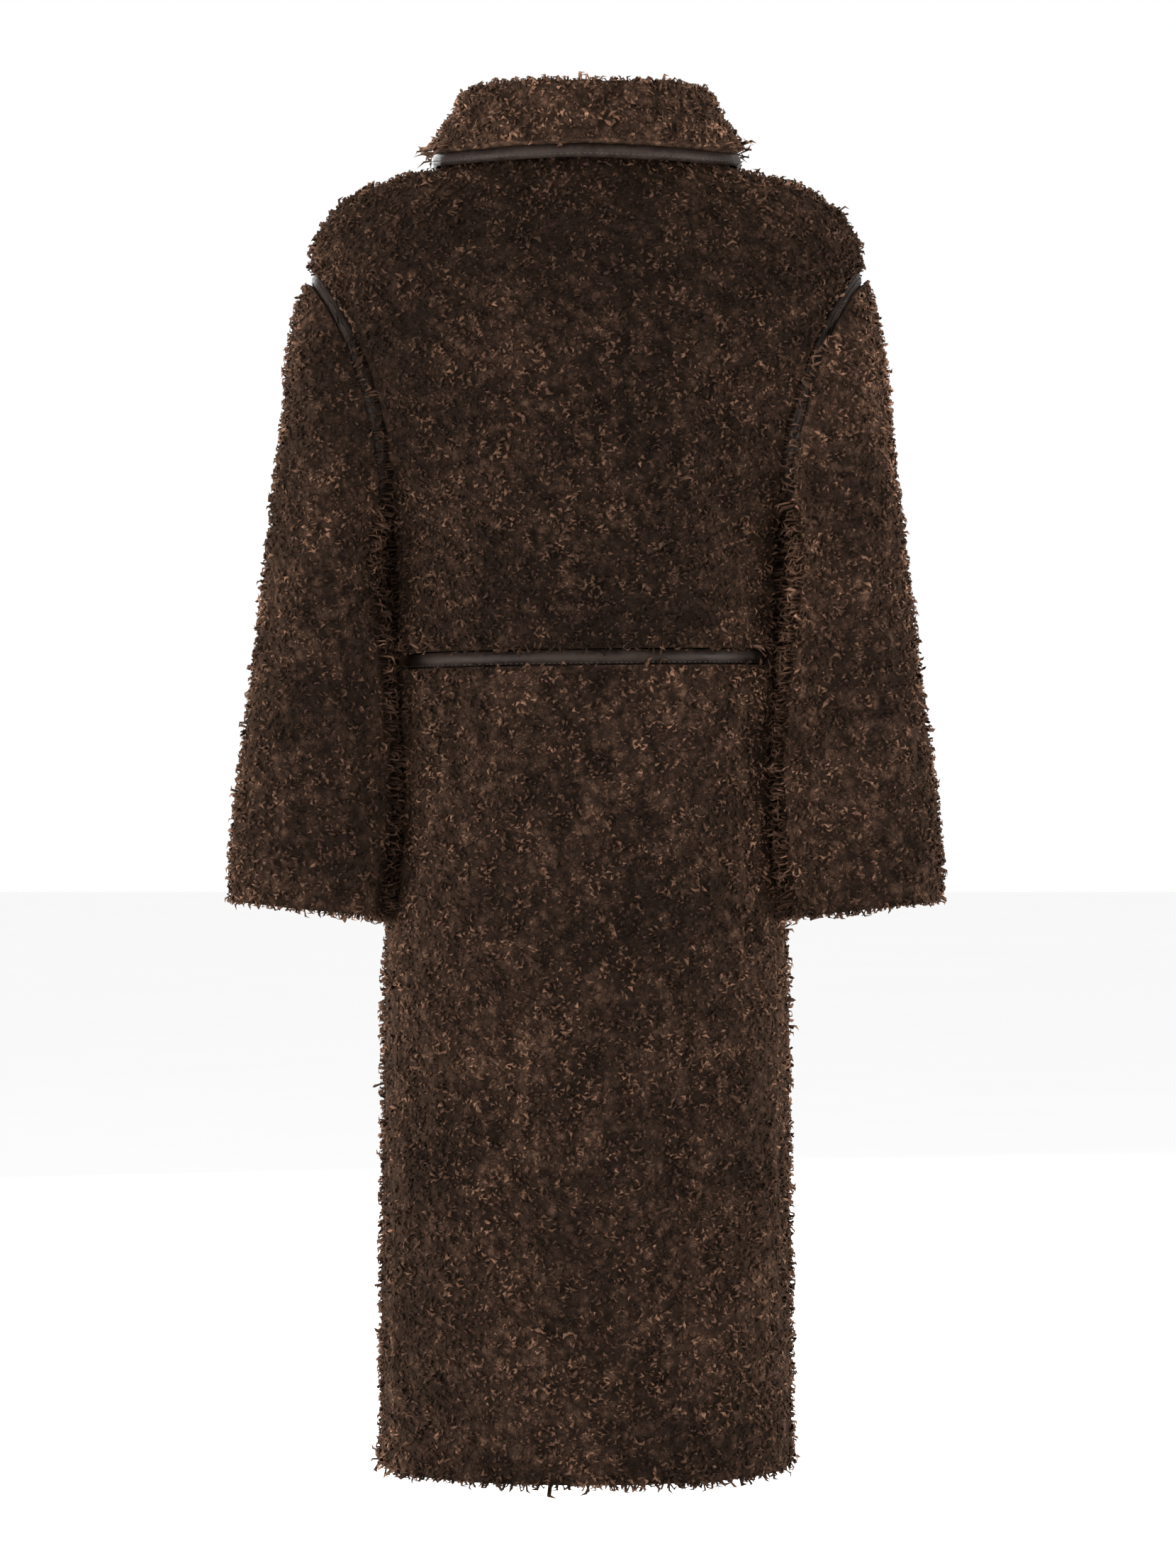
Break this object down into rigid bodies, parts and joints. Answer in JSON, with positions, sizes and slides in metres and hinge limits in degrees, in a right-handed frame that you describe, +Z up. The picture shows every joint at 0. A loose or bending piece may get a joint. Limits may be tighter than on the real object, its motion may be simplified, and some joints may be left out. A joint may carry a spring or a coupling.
{
  "type": "faux fur coat",
  "caption": "Long straight coat of dark curly faux fur with a fold-down collar and thin leather strips at collar edge, armholes and back waist, hollow in its worn shape.",
  "frame": {"origin": "middle of the neck opening, where a wearer holds the coat up", "axes": "+Z up, +X towards the wearer's left, +Y towards the coat's back; the front faces -Y"},
  "size_m": [0.666, 0.2949, 1.2917],
  "materials": {
    "fur": "dark brown curly pile, matt with a faint sheen",
    "strip": "dark grey-brown smooth leather, slightly glossy"
  },
  "bodies": {
    "root": {"back_upper": "fur", "back_lower": "fur", "front_left": "fur", "front_right": "fur", "sleeve_left": "fur", "sleeve_right": "fur", "collar": "fur", "waist_strip": "strip", "armhole_strip_left": "strip", "armhole_strip_right": "strip", "collar_strip": "strip"}
  },
  "joints": []
}
